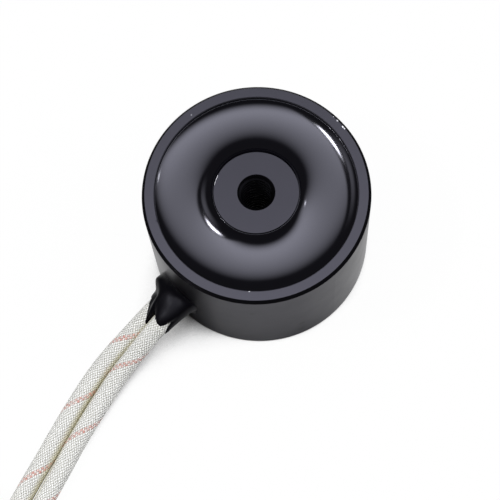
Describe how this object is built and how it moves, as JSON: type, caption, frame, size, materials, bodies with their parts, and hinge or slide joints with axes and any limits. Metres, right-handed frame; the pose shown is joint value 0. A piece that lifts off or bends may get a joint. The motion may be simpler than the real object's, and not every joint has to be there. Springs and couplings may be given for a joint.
{
  "type": "holding electromagnet",
  "caption": "Round potted holding electromagnet: black steel pot with a tapped centre pole, resin-filled coil groove and braided flying leads from its side.",
  "frame": {"origin": "centre of the back face of the pot, on its axis", "axes": "+Z along the axis, from the back face towards the holding face; -Y the way the leads leave the wall"},
  "size_m": [0.0468, 0.1291, 0.0254],
  "materials": {
    "black_steel": "satin",
    "black_resin": "gloss",
    "bobbin_nylon": "matte",
    "copper_wire": "enamelled",
    "coil_tape": "matte",
    "tinned_strand": "tinned",
    "glass_sleeve": "matte",
    "braid": "braided, with an orange-red tracer",
    "tie_nylon": "satin"
  },
  "bodies": {
    "root": {"pot_body": "black_steel", "bobbin": "bobbin_nylon", "winding": "copper_wire", "winding_tape": "coil_tape", "resin_fill": "black_resin", "lead_seal": "black_resin", "lead_a_root": "tinned_strand", "lead_b_root": "tinned_strand", "crimp_a": "tinned_strand", "crimp_b": "tinned_strand", "sleeve_a": "glass_sleeve", "sleeve_b": "glass_sleeve", "lead_a": "braid", "lead_b": "braid", "lead_a_coil": "braid", "lead_b_coil": "braid", "lead_a_end": "tinned_strand", "lead_b_end": "tinned_strand", "coil_tie": "tie_nylon"}
  },
  "joints": []
}
